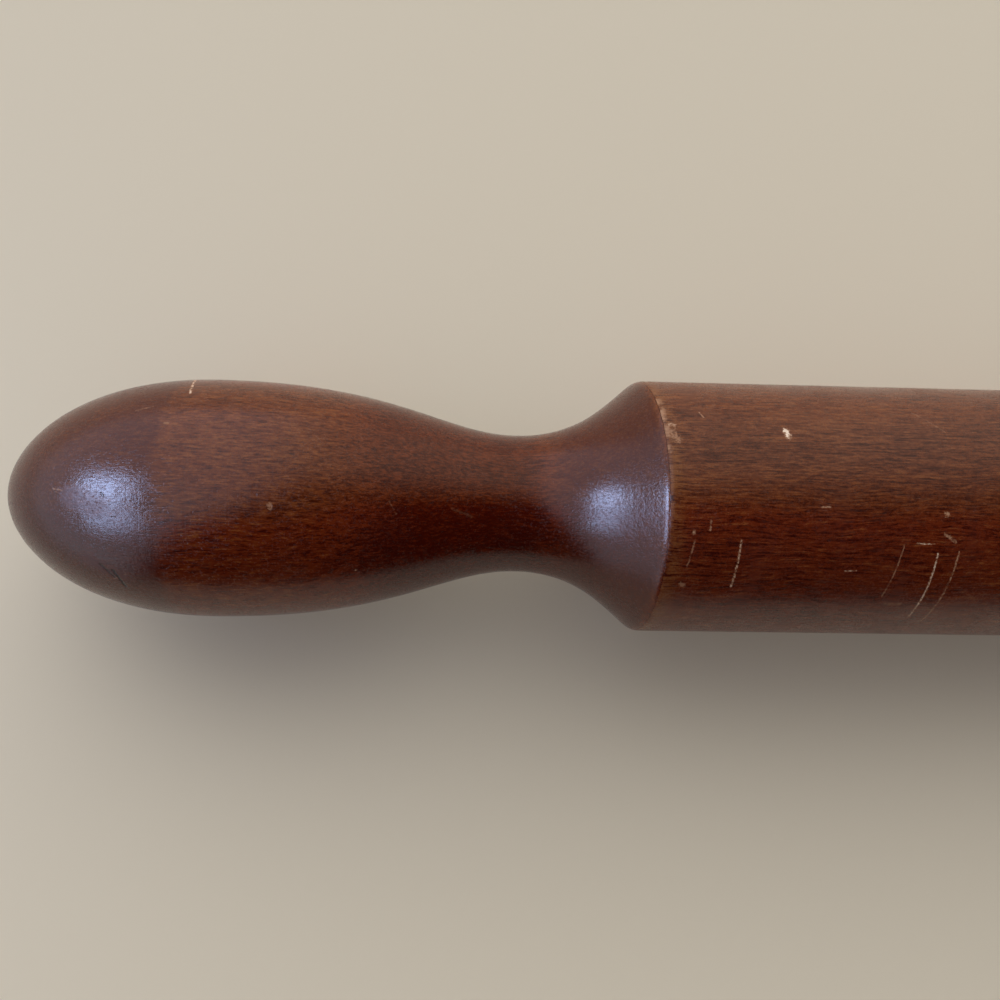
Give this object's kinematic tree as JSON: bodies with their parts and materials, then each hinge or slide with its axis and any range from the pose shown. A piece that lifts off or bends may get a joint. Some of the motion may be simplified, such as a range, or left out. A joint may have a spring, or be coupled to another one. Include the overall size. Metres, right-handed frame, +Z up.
{
  "type": "rolling pin",
  "caption": "Solid wooden rolling pin: a cylindrical barrel with a turned bulb handle glued flush into each end, dark red-brown stain under worn lacquer.",
  "frame": {"origin": "on the surface that the barrel rests on, below the middle of the pin", "axes": "+X along the pin towards the right handle, +Y away from the user, +Z up"},
  "size_m": [0.4952, 0.05, 0.05],
  "materials": {
    "barrel_wood": "red-brown stain under thin lacquer, dulled and scratched by use, worn to bare wood along the end edges",
    "handle_wood": "darker red-brown stain under glossy lacquer"
  },
  "bodies": {
    "root": {"barrel": "barrel_wood", "left_handle": "handle_wood", "right_handle": "handle_wood"}
  },
  "joints": []
}
